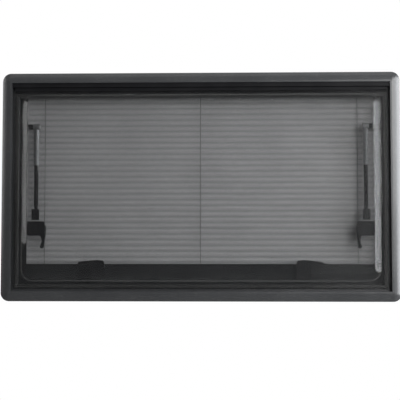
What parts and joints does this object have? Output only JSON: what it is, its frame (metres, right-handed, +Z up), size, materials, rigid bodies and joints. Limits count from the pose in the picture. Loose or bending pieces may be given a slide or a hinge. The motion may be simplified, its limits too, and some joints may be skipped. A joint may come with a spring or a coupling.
{
  "type": "caravan window",
  "caption": "Top-hung framed caravan window with a raised double acrylic sash on telescopic stays, turn latches and a pleated blind in the inner frame.",
  "frame": {"origin": "middle of the bottom flange's back face, on the plane of the vehicle wall's outer skin", "axes": "+X to the right seen from outside, +Y into the vehicle, +Z up"},
  "size_m": [0.94, 0.08, 0.5401],
  "materials": {
    "frame_paint": "satin",
    "hinge_black": "satin anodised",
    "acrylic": "clear grey tint",
    "seal_rubber": "matte",
    "inner_trim": "matte",
    "blind_cloth": "matte",
    "cord": "matte",
    "stay_metal": "satin",
    "stay_rod": "satin",
    "black_plastic": "matte"
  },
  "bodies": {
    "frame": {"frame_top_rail": "frame_paint", "frame_bottom_rail": "frame_paint", "frame_right_stile": "frame_paint", "frame_left_stile": "frame_paint", "hinge_rail": "hinge_black", "sash_seal": "seal_rubber", "inner_frame_top": "inner_trim", "inner_frame_bottom": "inner_trim", "inner_frame_right": "inner_trim", "inner_frame_left": "inner_trim", "blind_fabric": "blind_cloth", "blind_cords": "cord", "blind_pull_rail": "inner_trim", "right_stay_frame_bracket": "black_plastic", "left_stay_frame_bracket": "black_plastic"},
    "sash": {"outer_pane": "acrylic", "inner_pane": "acrylic", "sash_hinge_strip": "hinge_black", "left_stay_sash_bracket": "black_plastic", "right_stay_sash_bracket": "black_plastic", "bottom_left_latch_base": "black_plastic", "bottom_right_latch_base": "black_plastic", "left_latch_base": "black_plastic", "right_latch_base": "black_plastic"},
    "left_stay": {"left_stay_tube": "stay_metal", "left_stay_collar": "black_plastic"},
    "left_rod": {"left_stay_rod": "stay_rod"},
    "right_stay": {"right_stay_tube": "stay_metal", "right_stay_collar": "black_plastic"},
    "right_rod": {"right_stay_rod": "stay_rod"},
    "bottom_left_latch": {"bottom_left_latch_lever": "black_plastic"},
    "bottom_right_latch": {"bottom_right_latch_lever": "black_plastic"},
    "left_latch": {"left_latch_lever": "black_plastic"},
    "right_latch": {"right_latch_lever": "black_plastic"}
  },
  "joints": [
    {"name": "sash_hinge", "type": "hinge", "parent": "frame", "child": "sash", "pos_m": [0, -0.0035, 0.49775], "axis": [-1, 0, 0], "range_deg": [0, 50]},
    {"name": "left_stay_swing", "type": "hinge", "parent": "frame", "child": "left_stay", "pos_m": [-0.392, 0.015, 0.40325], "axis": [-1, 0, 0], "range_deg": [0, 64.41]},
    {"name": "left_stay_extend", "type": "slide", "parent": "left_stay", "child": "left_rod", "axis": [0, 0, -1], "range_m": [0, 0.0563]},
    {"name": "right_stay_swing", "type": "hinge", "parent": "frame", "child": "right_stay", "pos_m": [0.392, 0.015, 0.40325], "axis": [-1, 0, 0], "range_deg": [0, 64.41]},
    {"name": "right_stay_extend", "type": "slide", "parent": "right_stay", "child": "right_rod", "axis": [0, 0, -1], "range_m": [0, 0.0563]},
    {"name": "bottom_left_latch_turn", "type": "hinge", "parent": "sash", "child": "bottom_left_latch", "pos_m": [-0.243, 0.006, 0.07025], "axis": [0, 1, 0], "range_deg": [0, 90]},
    {"name": "bottom_right_latch_turn", "type": "hinge", "parent": "sash", "child": "bottom_right_latch", "pos_m": [0.243, 0.006, 0.07025], "axis": [0, -1, 0], "range_deg": [0, 90]},
    {"name": "left_latch_turn", "type": "hinge", "parent": "sash", "child": "left_latch", "pos_m": [-0.383, 0.006, 0.16025], "axis": [0, -1, 0], "range_deg": [0, 90]},
    {"name": "right_latch_turn", "type": "hinge", "parent": "sash", "child": "right_latch", "pos_m": [0.383, 0.006, 0.16025], "axis": [0, 1, 0], "range_deg": [0, 90]}
  ],
  "couplings": [
    {"joint": "left_stay_swing", "follows": "sash_hinge", "ratio": 1.2862},
    {"joint": "left_stay_extend", "follows": "sash_hinge", "m_per_rad": 0.064383},
    {"joint": "right_stay_swing", "follows": "sash_hinge", "ratio": 1.2862},
    {"joint": "right_stay_extend", "follows": "sash_hinge", "m_per_rad": 0.064383}
  ]
}
